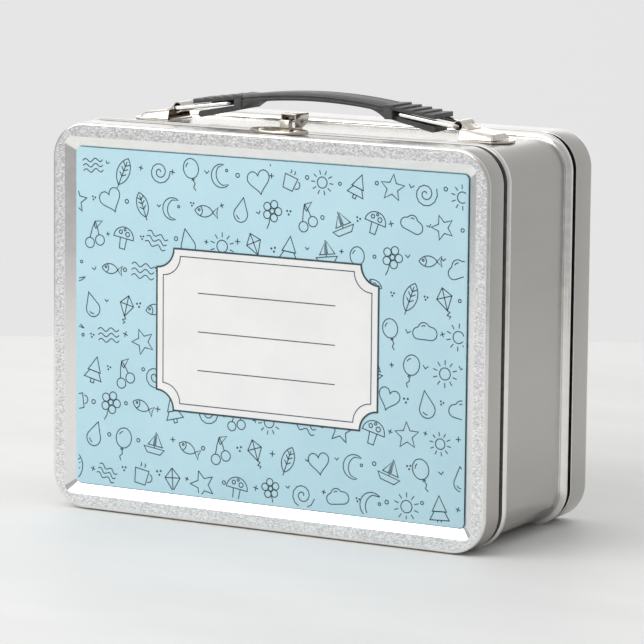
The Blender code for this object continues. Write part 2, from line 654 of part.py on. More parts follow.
def build():
    clear_scene()
    hinge_axis = (0, HINGE_Y, HINGE_Z)
    lid = pan("front_lid", -1, LID_FLANGE, LID_HEM)
    back = pan("back_pan", 1, BACK_FLANGE, BAND_INSET - SEAT_GAP)
    body = band()
    panel = print_panel()
    plate = striker()
    base = catch_base()
    for label, side in (("left", -1), ("right", 1)):
        bracket(label, side)
        link(label, side)
        hinge(label, side * (CASE_WIDTH / 2 - HINGE_INSET))
    grip()
    pin_half = LEVER_WIDTH / 2 + CATCH_PIN_OVERHANG
    pin_axis = (CATCH_PIN_Y, CATCH_PIN_Z)
    wire_steel(round_bar("latch_pin", "X", pin_axis, CATCH_PIN_RADIUS, CATCH_X - pin_half, CATCH_X + pin_half))
    nickel(lever(), (CATCH_X, CATCH_PIN_Y, CATCH_PIN_Z))
    tin(lid, hinge_axis)
    tin(back)
    tin(body)
    finish(panel, PRINT_FINISH, hinge_axis)
    nickel(plate, hinge_axis)
    nickel(base)


build()
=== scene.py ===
# Looks for the tin lunch box: drawn pans, beaded band, printed front, nickel catch and lifting grip.
import bpy
import bmesh
import random
from math import atan2, cos, hypot, pi, radians, sin, tan
from mathutils import Matrix, Vector


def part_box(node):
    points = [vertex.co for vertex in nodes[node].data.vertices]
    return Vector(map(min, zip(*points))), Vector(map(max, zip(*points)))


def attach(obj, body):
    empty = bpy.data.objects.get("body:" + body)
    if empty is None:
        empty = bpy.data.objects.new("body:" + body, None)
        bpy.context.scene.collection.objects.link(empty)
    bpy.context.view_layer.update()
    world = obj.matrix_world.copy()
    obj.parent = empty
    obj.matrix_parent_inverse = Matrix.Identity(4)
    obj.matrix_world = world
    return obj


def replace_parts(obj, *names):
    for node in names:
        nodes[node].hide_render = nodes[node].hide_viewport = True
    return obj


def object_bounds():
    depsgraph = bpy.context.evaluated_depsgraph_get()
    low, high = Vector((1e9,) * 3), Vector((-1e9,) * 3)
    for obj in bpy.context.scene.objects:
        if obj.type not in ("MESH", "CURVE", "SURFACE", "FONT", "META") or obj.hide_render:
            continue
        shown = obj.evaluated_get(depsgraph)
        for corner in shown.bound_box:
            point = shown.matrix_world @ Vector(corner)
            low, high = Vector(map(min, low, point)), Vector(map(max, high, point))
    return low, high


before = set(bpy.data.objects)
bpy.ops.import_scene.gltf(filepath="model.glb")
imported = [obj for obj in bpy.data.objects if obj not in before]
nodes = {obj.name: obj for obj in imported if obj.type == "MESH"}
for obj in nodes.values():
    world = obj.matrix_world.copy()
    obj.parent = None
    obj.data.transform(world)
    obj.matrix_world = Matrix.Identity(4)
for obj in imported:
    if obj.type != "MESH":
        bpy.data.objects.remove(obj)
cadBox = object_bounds()
scene = bpy.context.scene
scene.view_settings.view_transform = "Standard"
mm = 0.001
print("frame loaded,", len(nodes), "nodes")


def inMm(**lengths):
    return {key: value * mm for key, value in lengths.items()}


# small node-tree helpers

def adjust(node, settings):
    for key, value in settings.items():
        if key in node.inputs:
            node.inputs[key].default_value = value
        else:
            setattr(node, key, value)
    return node


def addNode(tree, kind, **settings):
    return adjust(tree.nodes.new(kind), settings)


def newLook(name, settings):
    look = bpy.data.materials.new(name)
    look.use_nodes = True
    tree = look.node_tree
    return look, tree, adjust(tree.nodes["Principled BSDF"], settings)


def feed(tree, source, node, key):
    tree.links.new(source, node.inputs[key])


def partSpace(tree, stretch):
    place = tree.nodes.new("ShaderNodeTexCoord")
    scale = tree.nodes.new("ShaderNodeMapping")
    scale.inputs["Scale"].default_value = stretch
    feed(tree, place.outputs["Object"], scale, "Vector")
    return scale.outputs["Vector"]


def noiseFrom(tree, vector, size, detail=3.0, rough=0.5):
    node = addNode(tree, "ShaderNodeTexNoise", Scale=1.0 / size, Detail=detail, Roughness=rough)
    feed(tree, vector, node, "Vector")
    return node.outputs["Fac"]


def ramp(tree, fac, stops):
    node = tree.nodes.new("ShaderNodeValToRGB")
    band = node.color_ramp
    while len(band.elements) < len(stops):
        band.elements.new(0.5)
    for element, (at, colour) in zip(band.elements, stops):
        element.position = at
        element.color = (*colour, 1)
    feed(tree, fac, node, "Fac")
    return node.outputs["Color"]


def spread(tree, fac, low, high, fromLow=0.3, fromHigh=0.7):
    limits = {"From Min": fromLow, "From Max": fromHigh, "To Min": low, "To Max": high}
    node = addNode(tree, "ShaderNodeMapRange", **limits)
    feed(tree, fac, node, "Value")
    return node.outputs["Result"]


def bump(tree, fac, depth, strength, under=None):
    node = addNode(tree, "ShaderNodeBump", Strength=strength, Distance=depth)
    feed(tree, fac, node, "Height")
    if under is not None:
        feed(tree, under, node, "Normal")
    return node.outputs["Normal"]


# metal: a mottled tone, a roughness that wanders with it, and two sizes of unevenness; lengths in mm
metalBase = dict(stretch=(1, 1, 1), detail=3.0, contrast=0.16, grainBump=0.5, grainDepth=0.003,
                 waveDepth=0.01)


def metalLook(name, look):
    look = {**metalBase, **look}
    material, tree, shader = newLook(name, {"Metallic": 1.0})
    vector = partSpace(tree, look["stretch"])
    mottle = noiseFrom(tree, vector, look["grain"] * mm, detail=look["detail"], rough=0.6)
    soft = look["contrast"]
    tone = ramp(tree, mottle, [(0.5 - soft, look["dark"]), (0.5 + soft, look["light"])])
    feed(tree, tone, shader, "Base Color")
    low, high = look["rough"]
    feed(tree, spread(tree, mottle, low, high), shader, "Roughness")
    dents = noiseFrom(tree, partSpace(tree, (1, 1, 1)), look["wave"] * mm, detail=2.0)
    normal = bump(tree, dents, look["waveDepth"] * mm, strength=1.0)
    normal = bump(tree, mottle, look["grainDepth"] * mm, look["grainBump"], normal)
    feed(tree, normal, shader, "Normal")
    return material


tinLooks = {
    "rimSpangle": dict(dark=(0.62, 0.62, 0.63), light=(0.97, 0.97, 0.975), grain=0.7, detail=2.5,
                       contrast=0.15, stretch=(0.6, 1, 1), rough=(0.24, 0.34), grainDepth=0.13,
                       grainBump=1.0, wave=30),
    "slopeTin": dict(dark=(0.88, 0.87, 0.855), light=(0.93, 0.92, 0.905), grain=6,
                     rough=(0.14, 0.19), grainDepth=0.004, wave=18, waveDepth=0.008),
    # painted highlight: the pans' own tin made paler on the edge bends and the sheet's end, for the bright
    # edge line
    "edgeHighlightTin": dict(dark=(0.80, 0.795, 0.78), light=(0.87, 0.865, 0.85), grain=4,
                    rough=(0.14, 0.20), wave=25, waveDepth=0.008),
    "satinTin": dict(dark=(0.485, 0.475, 0.450), light=(0.510, 0.500, 0.475), grain=12, detail=4.0,
                     stretch=(1, 0.25, 1), rough=(0.22, 0.26), grainDepth=0.0008, wave=90,
                     waveDepth=0.10),
    "insideTin": dict(dark=(0.440, 0.432, 0.412), light=(0.475, 0.466, 0.445), grain=9, detail=4.0,
                      rough=(0.42, 0.48), grainDepth=0.001, wave=90, waveDepth=0.08),
    # painted highlight: the band's own tin brightened for the light its rolled beads catch; the hinge loops
    # take it too
    "beadHighlightTin": dict(dark=(0.83, 0.82, 0.80), light=(0.92, 0.91, 0.89), grain=5,
                    rough=(0.14, 0.20), wave=30),
    # painted shade: near-black tin for the shadow in the slots beside the beads and on the lid's hem
    "slotShadeTin": dict(dark=(0.075, 0.072, 0.068), light=(0.140, 0.135, 0.127), grain=2,
                    rough=(0.45, 0.60), grainDepth=0.01, wave=12),
}
tins = {name: metalLook(name, look) for name, look in tinLooks.items()}

hardwareLooks = {
    "warmNickel": dict(dark=(0.66, 0.62, 0.555), light=(0.75, 0.71, 0.64), grain=2.2, detail=4.0,
                       rough=(0.09, 0.17), wave=6, waveDepth=0.012),
    # painted shade: dark nickel for bores, hollows and inner faces that lie in shadow
    "shadeNickel": dict(dark=(0.150, 0.120, 0.085), light=(0.290, 0.240, 0.175), grain=1.6,
                        rough=(0.16, 0.28), grainDepth=0.004, wave=5),
    "brightWire": dict(dark=(0.76, 0.755, 0.74), light=(0.85, 0.845, 0.83), grain=1.2,
                       stretch=(0.2, 1, 1), rough=(0.10, 0.17), wave=8, waveDepth=0.006),
}
hardware = {name: metalLook(name, look) for name, look in hardwareLooks.items()}


# paint and plastic: a faint patchiness and an orange-peel skin; lengths in mm
def paintLook(name, look):
    material, tree, shader = newLook(name, {"Specular IOR Level": look["gloss"]})
    vector = partSpace(tree, (1, 1, 1))
    mottle = noiseFrom(tree, vector, look["patch"] * mm, detail=4.0)
    tone = ramp(tree, mottle, [(0.35, look["dark"]), (0.65, look["light"])])
    feed(tree, tone, shader, "Base Color")
    peel = noiseFrom(tree, vector, look["peel"] * mm, detail=2.0)
    feed(tree, spread(tree, peel, *look["rough"]), shader, "Roughness")
    feed(tree, bump(tree, peel, look["peelDepth"] * mm, strength=0.6), shader, "Normal")
    return material


printLooks = {
    "skyPrint": dict(dark=(0.510, 0.760, 0.860), light=(0.545, 0.790, 0.880), patch=25, peel=0.7,
                     peelDepth=0.015, rough=(0.34, 0.44), gloss=0.35),
    "labelWhite": dict(dark=(0.90, 0.90, 0.90), light=(0.94, 0.94, 0.935), patch=18, peel=0.7,
                       peelDepth=0.015, rough=(0.38, 0.46), gloss=0.3),
    "lineInk": dict(dark=(0.035, 0.062, 0.075), light=(0.055, 0.090, 0.105), patch=2.5, peel=0.5,
                    peelDepth=0.004, rough=(0.40, 0.50), gloss=0.3),
    "gripPlastic": dict(dark=(0.078, 0.078, 0.080), light=(0.105, 0.105, 0.108), patch=4, peel=0.35,
                        peelDepth=0.03, rough=(0.40, 0.54), gloss=0.5),
}
paints = {name: paintLook(name, look) for name, look in printLooks.items()}
print("finishes made,", len(tins) + len(hardware) + len(paints))


# mesh helpers

def meshFrom(name, bm):
    mesh = bpy.data.meshes.new(name)
    bm.to_mesh(mesh)
    bm.free()
    return mesh


def addObject(name, data):
    made = bpy.data.objects.new(name, data)
    scene.collection.objects.link(made)
    return made


def newPiece(name, bm, looks, body, smooth=40):
    bmesh.ops.recalc_face_normals(bm, faces=bm.faces)
    mesh = meshFrom(name, bm)
    for look in looks:
        mesh.materials.append(look)
    mesh.shade_smooth()
    mesh.set_sharp_from_angle(angle=radians(smooth))
    piece = addObject(name, mesh)
    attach(piece, body)
    return piece


def skin(bm, rings, closed=False, zones=None):
    rows = [[bm.verts.new(point) for point in ring] for ring in rings]
    count = len(rows[0])
    for i in range(len(rows) if closed else len(rows) - 1):
        low, high = rows[i], rows[(i + 1) % len(rows)]
        for j in range(count):
            k = (j + 1) % count
            face = bm.faces.new((low[j], low[k], high[k], high[j]))
            face.material_index = zones[i] if zones else 0
    if not closed:
        for row, zone in ((rows[0], 0), (rows[-1], -1)):
            face = bm.faces.new(row)
            face.material_index = zones[zone] if zones else 0


# a bent path with each corner eased; entries are (a, b, ease, zone on the bend, zone on the run after it)
def bendPath(corners, steps=6, most=0.48):
    points, zones = [], []
    last = len(corners) - 1
    for i, (a, b, ease, bendZone, runZone) in enumerate(corners):
        here = Vector((a, b))
        if i in (0, last) or ease == 0:
            points.append((a, b))
            zones.append(runZone)
            continue
        before = Vector(corners[i - 1][:2]) - here
        after = Vector(corners[i + 1][:2]) - here
        turn = before.angle(after)
        cut = min(ease / tan(turn / 2), most * before.length, most * after.length)
        start, end = here + before.normalized() * cut, here + after.normalized() * cut
        for k in range(steps + 1):
            t = k / steps
            spot = start * (1 - t) ** 2 + here * 2 * t * (1 - t) + end * t ** 2
            points.append((spot.x, spot.y))
            zones.append(runZone if k == steps else bendZone)
    return points, zones


def quarterArc(a, b, radius, quarter, steps):
    turns = [(quarter + k / steps) * pi / 2 for k in range(steps + 1)]
    return [(a + radius * cos(t), b + radius * sin(t)) for t in turns]


def roundedPlate(x0, x1, z0, z1, radius, steps=8):
    left, right, low, high = x0 + radius, x1 - radius, z0 + radius, z1 - radius
    points = []
    for quarter, (x, z) in enumerate(((right, high), (left, high), (left, low), (right, low))):
        points += quarterArc(x, z, radius, quarter, steps)
    return points


def circlePoints(a, b, radius, sides):
    turns = [2 * pi * k / sides for k in range(sides)]
    return [(a + radius * cos(t), b + radius * sin(t)) for t in turns]


def sided(points, side):
    return [(side * x, z) for x, z in points]


# case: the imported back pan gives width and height, the lid and band give the depths
caseLow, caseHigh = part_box("back_pan")
lidLow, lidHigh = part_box("front_lid")
bandLow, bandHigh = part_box("body_band")

case = dict(inMm(corner=15, sheet=0.5, edge=1.3, rim=4.6, slope=4.2, recess=2.6, recessCorner=3.5,
                 floorCorner=2.0, floorRing=4, hem=1.6, lip=0.4, cornerEase=1.0, slack=0.1, tightest=1.2),
            recessReach=2.8, cornerSteps=16)


def cornerAt(inset):
    rimStart, rimEnd = case["edge"], case["edge"] + case["rim"]
    floor = rimEnd + case["slope"]
    ease = case["cornerEase"]
    if inset <= rimStart + case["slack"]:
        return case["corner"] - inset
    if inset <= rimEnd:
        share = max(0.0, (inset - rimEnd + ease) / ease)
        return case["recessCorner"] + (1 - share) * ease
    share = min(1.0, (inset - rimEnd) / (floor - rimEnd))
    return case["recessCorner"] + (case["floorCorner"] - case["recessCorner"]) * share


def caseRing(inset, y, radius):
    side, steps = caseHigh.x - inset, case["cornerSteps"]
    outline = roundedPlate(-side, side, caseLow.z + inset, caseHigh.z - inset, radius, steps)
    return [(x, y, z) for x, z in outline]


def drawnPan(name, body, face, side, flange, hem):
    sheet, edge, recess = case["sheet"], case["edge"], case["recess"]
    rimEnd = edge + case["rim"]
    floor = rimEnd + case["slope"]
    middle = floor + case["floorRing"]
    lean = sheet * tan(atan2(recess, case["slope"]) / 2)
    # the dark zone on the hem is painted shade, the shadow of the slot under the lid's edge
    rim, slope, edgeHighlight, satin, slotShade, inner = range(6)
    # the edge bends and the sheet's end take the paler tin, a painted highlight
    path = [
        (middle, recess, 0, satin, satin),
        (floor, recess, 0.5 * mm, slope, slope),
        (rimEnd, 0, 0.3 * mm, slope, rim),
        (0, 0, edge, edgeHighlight, satin),
        (0, flange, 0.22 * mm, edgeHighlight, edgeHighlight),
        (sheet, flange, 0.1 * mm, edgeHighlight, slotShade),
        (hem, flange - case["lip"], 0.2 * mm, slotShade, slotShade),
        (hem, flange - case["hem"], 0, slotShade, inner),
        (sheet, flange - case["hem"], 0, inner, inner),
        (sheet, sheet, edge - sheet, inner, inner),
        (rimEnd - lean, sheet, 0.35 * mm, inner, inner),
        (floor - lean, recess + sheet, 0.5 * mm, inner, inner),
        (middle, recess + sheet, 0, inner, inner),
    ]
    points, zones = bendPath(path)
    bm = bmesh.new()
    rings = []
    for inset, depth in points:
        inRecess = depth < edge * case["recessReach"] and inset > edge
        radius = cornerAt(inset) if inRecess else case["corner"] - inset
        rings.append(caseRing(inset, face - side * depth, max(radius, case["tightest"])))
    skin(bm, rings, zones=zones)
    looks = [tins[key] for key in ("rimSpangle", "slopeTin", "edgeHighlightTin", "satinTin", "slotShadeTin", "insideTin")]
    return newPiece(name, bm, looks, body, smooth=30)


lid = drawnPan("lidShell", "front_lid", lidLow.y, -1, lidHigh.y - lidLow.y, hem=1.4 * mm)
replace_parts(lid, "front_lid")
backShell = drawnPan("backShell", "box", caseHigh.y, 1, caseHigh.y - caseLow.y, hem=1.7 * mm)
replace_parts(backShell, "back_pan")
print("pans drawn")


# band: flat between two half-round beads, with painted shade in the slot under each pan
band = dict(inMm(inset=2.0, proud=0.5, foot=0.35, cover=0.4), frontBead=(-28.0 * mm, 4.8 * mm),
            rearBead=(26.0 * mm, 4.6 * mm), steps=16, shade=0.25)


def beadRun(centre, width, lift, sheet):
    half = width / 2 - sheet
    run = []
    for step in range(band["steps"] + 1):
        angle = pi - pi * step / band["steps"]
        run.append((band["inset"] + sheet - lift * sin(angle), centre + half * cos(angle)))
    return run


def beadedBand():
    inset, sheet, foot = band["inset"], case["sheet"], band["foot"]
    lift = inset + band["proud"]
    # the dark zone is painted shade, the shadow in the slot between the lid's edge and each bead
    flat, beadHighlight, inside, slotShade = range(4)
    shade = round(band["steps"] * band["shade"])  # steps of each bead that lie in the slot and take its painted shade
    # (inset, y, zone of the run after it), from the plain lip under the lid and its slot
    path = [(inset, bandLow.y, flat), (inset, lidHigh.y - band["cover"], slotShade)]
    # the beads take the brightened tin, a painted highlight
    for (centre, width), outerFirst in ((band["frontBead"], True), (band["rearBead"], False)):
        run = beadRun(centre, width, lift, 0)
        tones = [slotShade] * shade + [beadHighlight] * (len(run) - shade)
        path.append((inset, centre - width / 2 - foot, slotShade if outerFirst else beadHighlight))
        path += [(a, y, tone) for (a, y), tone in zip(run, tones if outerFirst else tones[::-1])]
        path.append((inset, centre + width / 2 + foot, flat if outerFirst else slotShade))
    path += [(inset, bandHigh.y, inside), (inset + sheet, bandHigh.y, inside)]
    for centre, width in (band["rearBead"], band["frontBead"]):
        path += [(a, y, inside) for a, y in beadRun(centre, width, lift, sheet)[::-1]]
    path.append((inset + sheet, bandLow.y, inside))
    bm = bmesh.new()
    rings = [caseRing(a, y, case["corner"] - a) for a, y, zone in path]
    skin(bm, rings, closed=True, zones=[zone for a, y, zone in path])
    looks = [tins[key] for key in ("satinTin", "beadHighlightTin", "insideTin", "slotShadeTin")]
    return newPiece("bandShell", bm, looks, "box", smooth=50)


bandShell = beadedBand()
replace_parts(bandShell, "body_band")

# the band's lapped joint, low on the right side
lap = dict(inMm(z=9.5, width=5.2, rise=0.16, gap=0.6, fade=0.3, sink=0.2), steps=8)


def lapSeam():
    bm = bmesh.new()
    front = band["frontBead"][0] + band["frontBead"][1] / 2 + lap["gap"]
    rear = band["rearBead"][0] - band["rearBead"][1] / 2 - lap["gap"]
    turn = case["corner"] - band["inset"]
    centre = (caseHigh.x - case["corner"], caseLow.z + case["corner"])
    rings = []
    for y, rise in ((front, 0), (front + lap["fade"], 1), (rear - lap["fade"], 1), (rear, 0)):
        outer, inner = [], []
        for k in range(lap["steps"] + 1):
            z = lap["z"] - lap["width"] * k / lap["steps"]
            angle = atan2(z - centre[1], (turn ** 2 - (z - centre[1]) ** 2) ** 0.5)
            for side, lift in ((outer, rise * lap["rise"]), (inner, -lap["sink"])):
                out = turn + lift
                side.append((centre[0] + out * cos(angle), y, centre[1] + out * sin(angle)))
        rings.append(outer + inner[::-1])
    skin(bm, rings)
    return newPiece("lapSeam", bm, [tins["satinTin"]], "box", smooth=30)


lapSeam()
print("band rolled")


def onAxis(axis, a, b, along):
    return (along, a, b) if axis == "X" else (a, along, b)


# a slab cut from a flat outline, with its edges eased
def slab(bm, outline, axis, low, high, ease=0.0, segments=2, sharpFrom=32):
    part = bmesh.new()
    skin(part, [[onAxis(axis, a, b, along) for a, b in outline] for along in (low, high)])
    bmesh.ops.recalc_face_normals(part, faces=part.faces)
    if ease:
        paired = [e for e in part.edges if len(e.link_faces) == 2]
        sharp = [e for e in paired if e.calc_face_angle() > radians(sharpFrom)]
        bmesh.ops.bevel(part, geom=sharp, offset=ease, segments=segments, profile=0.5, affect="EDGES",
                        clamp_overlap=True)
    mesh = meshFrom("slab", part)
    bm.from_mesh(mesh)
    bpy.data.meshes.remove(mesh)


# a tube along an axis, with the second look in its bore, where the dark nickel is painted shade
def tube(bm, axis, outer, bore, low, high):
    rings = []
    for along, points in ((low, outer), (high, outer), (high, bore), (low, bore)):
        rings.append([onAxis(axis, a, b, along) for a, b in points])
    skin(bm, rings, closed=True, zones=[0, 0, 1, 0])


# printed front panel
panelLow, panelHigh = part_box("print_panel")
panel = inMm(corner=2.0, ease=0.06, reach=0.3)  # the print meets the foot of the slope


def panelSheet():
    bm = bmesh.new()
    reach = panel["reach"]
    outline = roundedPlate(panelLow.x - reach, panelHigh.x + reach, panelLow.z - reach, panelHigh.z + reach,
                           panel["corner"])
    slab(bm, outline, "Y", panelLow.y, panelHigh.y, panel["ease"])
    return newPiece("printPanel", bm, [paints["skyPrint"]], "front_lid")


printPanel = panelSheet()
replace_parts(printPanel, "print_panel")


# line motifs on a unit grid; every stroke is (points, closed)
def arc(cx, cz, r, start, end, steps=12, tall=1.0):
    turns = [radians(start + (end - start) * k / steps) for k in range(steps + 1)]
    return [(cx + r * cos(t), cz + r * tall * sin(t)) for t in turns]


def ring(cx, cz, r, steps=14, tall=1.0):
    return arc(cx, cz, r, 0, 360, steps, tall)[:-1], True


def star(points=5, inner=0.45):
    spots = []
    for k in range(points * 2):
        r = 1.0 if k % 2 == 0 else inner
        spots.append((r * sin(pi * k / points), r * cos(pi * k / points)))
    return [(spots, True)]


def cloud():
    outline = arc(-0.55, -0.15, 0.42, 270, 100) + arc(-0.1, 0.2, 0.45, 160, 30)
    outline += arc(0.5, -0.1, 0.47, 75, -90)
    return [(outline, True), (arc(-0.1, 0.18, 0.25, 140, 60, 6), False)]


def moon():
    crescent = arc(0, 0, 0.9, 60, 300, 18) + arc(0.42, 0, 0.88, 243, 117, 14)[1:-1]
    return [(crescent, True), ring(0.55, 0.3, 0.1, 8)]


def leaf():
    side = arc(-0.75, 0, 1.25, -53, 53, 12)
    other = arc(0.75, 0, 1.25, 127, 233, 12)
    veins = [([(0, z), (sign * 0.28, z + 0.25)], False) for z in (-0.35, 0.05, 0.4) for sign in (-1, 1)]
    return [(side + other[1:-1], True), ([(0, -1.25), (0, 0.75)], False)] + veins


def kite():
    tail = [(0, -0.65), (0.16, -0.8), (-0.1, -0.95), (0.14, -1.1), (0, -1.25)]
    return [([(0, 1), (0.62, 0.3), (0, -0.65), (-0.62, 0.3)], True), ([(0, 1), (0, -0.65)], False),
            ([(-0.62, 0.3), (0.62, 0.3)], False), (tail, False)]


def boat():
    hull = [(-0.95, -0.35), (0.95, -0.35), (0.6, -0.8), (-0.6, -0.8)]
    mainSail = [(0.1, 0.85), (0.75, -0.15), (0.1, -0.15)]
    foreSail = [(-0.1, 0.65), (-0.6, -0.15), (-0.1, -0.15)]
    return [(hull, True), ([(0, -0.35), (0, 0.95)], False), (mainSail, True), (foreSail, True)]


def fish():
    body = arc(-0.1, -0.5, 0.9, 35, 145, 12) + arc(-0.1, 0.5, 0.9, 215, 325, 12)
    tail = [(0.62, 0), (1.05, 0.4), (0.95, 0), (1.05, -0.4)]
    return [(body, True), (tail, True), ring(-0.5, 0.08, 0.08, 8), (arc(-0.65, 0, 0.42, -50, 50, 8), False)]


def heart():
    spots = []
    for k in range(26):
        t = 2 * pi * k / 26
        up = 13 * cos(t) - 5 * cos(2 * t) - 2 * cos(3 * t) - cos(4 * t)
        spots.append((0.9 * sin(t) ** 3, up / 17 + 0.1))
    return [(spots, True)]


def drop():
    return [([(0, 1.0)] + arc(0, -0.3, 0.6, 20, -200, 18), True), (arc(0, -0.3, 0.36, 200, 265, 6), False)]


def sun():
    ends = zip(circlePoints(0, 0, 0.62, 10), circlePoints(0, 0, 0.95, 10))
    rays = [([near, far], False) for near, far in ends]
    return [ring(0, 0, 0.42)] + rays


def pine():
    top = [(-0.55, -0.1), (0, 1.0), (0.55, -0.1)]
    skirt = [(-0.75, -0.7), (-0.4, -0.1), (0.4, -0.1), (0.75, -0.7)]
    trunk = [(-0.14, -0.7), (-0.14, -1.0), (0.14, -1.0), (0.14, -0.7)]
    return [(top, True), (skirt, True), (trunk, False)]


def flower():
    turns = [2 * pi * k / 5 + 0.3 for k in range(5)]
    petals = [ring(0.52 * cos(t), 0.52 * sin(t) + 0.2, 0.3, 12) for t in turns]
    return petals + [ring(0, 0.2, 0.2, 10), ([(0, -0.4), (0.05, -0.8), (0, -1.2)], False)]


def balloon():
    knot = [(-0.1, -0.48), (0, -0.36), (0.1, -0.48)]
    string = [(0, -0.5), (0.1, -0.75), (-0.08, -1.0), (0.06, -1.25)]
    shine = arc(0, 0.4, 0.4, 110, 165, 6)
    return [ring(0, 0.35, 0.62, 18, 1.15), (knot, True), (string, False), (shine, False)]


def mushroom():
    cap = arc(0, 0.05, 0.85, 0, 180, 16, 0.95)
    stem = [(-0.28, 0.05), (-0.22, -0.75), (0.22, -0.75), (0.28, 0.05)]
    dots = [ring(-0.3, 0.45, 0.14, 9), ring(0.3, 0.38, 0.17, 9), ring(0.02, 0.68, 0.09, 8)]
    return [(cap, True), (stem, False)] + dots


def swirl():
    turns = [(0.08 + 0.04 * k, 0.55 * k) for k in range(24)]
    return [([(r * cos(t), r * sin(t)) for r, t in turns], False)]


def ripples():
    rows = []
    for row in (-0.4, 0, 0.4):
        rows.append(([(-0.9 + 0.1 * k, row + 0.14 * sin(0.1 * k * 7)) for k in range(19)], False))
    return rows


def cherry():
    stems = [[(-0.36, -0.2), (-0.1, 0.45), (0.15, 0.9)], [(0.38, -0.05), (0.3, 0.4), (0.15, 0.9)]]
    blade = arc(0.5, 0.65, 0.42, 145, 215, 6) + [(0.75, 0.9)]
    pair = [ring(-0.4, -0.55, 0.36, 14), ring(0.42, -0.4, 0.36, 14)]
    return pair + [(stem, False) for stem in stems] + [(blade, True)]


def cup():
    bowl = [(-0.6, 0.5), (-0.45, -0.6), (0.45, -0.6), (0.6, 0.5)]
    steam = [[(-0.2, 0.7), (-0.1, 0.85), (-0.2, 1.0)], [(0.15, 0.7), (0.25, 0.85), (0.15, 1.0)]]
    return [(bowl, True), (arc(0.62, 0.0, 0.33, 75, -95, 8), False)] + [(wisp, False) for wisp in steam]


def tinyPlus():
    return [([(-0.3, 0), (0.3, 0)], False), ([(0, -0.3), (0, 0.3)], False)]


def tinyRing():
    return [ring(0, 0, 0.22, 10)]


def tinyTrio():
    return [ring(0.25 * cos(t), 0.25 * sin(t), 0.07, 7) for t in (0.5, 2.6, 4.7)]


def tinyCheck():
    return [([(-0.3, 0.1), (0, -0.2), (0.3, 0.1)], False)]


design = dict(inMm(pitch=15.4, small=4.0, line=0.38, lift=0.06, margin=0.7, step=0.6, notch=8, labelLine=0.7,
                   labelDrop=2, frameIn=3, under=0.2, notchUnder=0.3),
              size=(5.0 * mm, 6.0 * mm), label=(102 * mm, 66 * mm), tilt=24, seed=11, mitre=0.9,
              smallVary=(0.7, 1.0), wander=1.2, rowPitch=0.9, startRow=0.4, smallDrop=0.2,
              rules=(0.28, 0.0, -0.28), ruleSpread=0.85, ruleHalf=0.62)
bigMotifs = [star, cloud, moon, leaf, kite, boat, fish, heart, drop, sun, pine, flower, balloon, mushroom,
             swirl, ripples, cherry, cup]
smallMotifs = [tinyPlus, tinyRing, tinyTrio, tinyCheck]


# one inked stroke as a thin closed strip standing on the print
def inkStroke(bm, spots, closed, width, back, front):
    count = len(spots)
    rings = []
    for i, (x, z) in enumerate(spots):
        px, pz = spots[i - 1] if closed or i > 0 else (2 * x - spots[1][0], 2 * z - spots[1][1])
        nx, nz = spots[(i + 1) % count] if closed or i < count - 1 else (2 * x - px, 2 * z - pz)
        ax, az, bx, bz = x - px, z - pz, nx - x, nz - z
        la, lb = hypot(ax, az) or 1.0, hypot(bx, bz) or 1.0
        mx, mz = -(az / la + bz / lb), ax / la + bx / lb
        grow = 2.0 / max(mx * mx + mz * mz, design["mitre"])
        dx, dz = mx * grow * width / 2, mz * grow * width / 2
        rings.append([(x + dx, back, z + dz), (x + dx, front, z + dz),
                      (x - dx, front, z - dz), (x - dx, back, z - dz)])
    skin(bm, rings, closed)


def plaque(halfX, halfZ, notch, cx, cz):
    points = []
    for quarter, (sx, sz) in enumerate(((1, 1), (-1, 1), (-1, -1), (1, -1))):
        start = 270 + 90 * quarter
        sweep = arc(sx * halfX, sz * halfZ, notch, start, start - 90, 8)
        points += [(cx + x, cz + z) for x, z in sweep]
    return points


# keeps the runs of a stroke that pass the test; a stroke that passes whole stays as it is
def keptRuns(spots, closed, test):
    if all(test(x, z) for x, z in spots):
        return [(spots, closed)]
    fine = []
    ends = spots + spots[:1] if closed else spots
    for (ax, az), (bx, bz) in zip(ends, ends[1:]):
        parts = max(1, int(hypot(bx - ax, bz - az) / design["step"]))
        fine += [(ax + (bx - ax) * k / parts, az + (bz - az) * k / parts) for k in range(parts)]
    fine.append(ends[-1])
    runs, run = [], []
    for spot in fine:
        if test(*spot):
            run.append(spot)
            continue
        runs.append(run)
        run = []
    runs.append(run)
    return [(run, False) for run in runs if len(run) > 1]


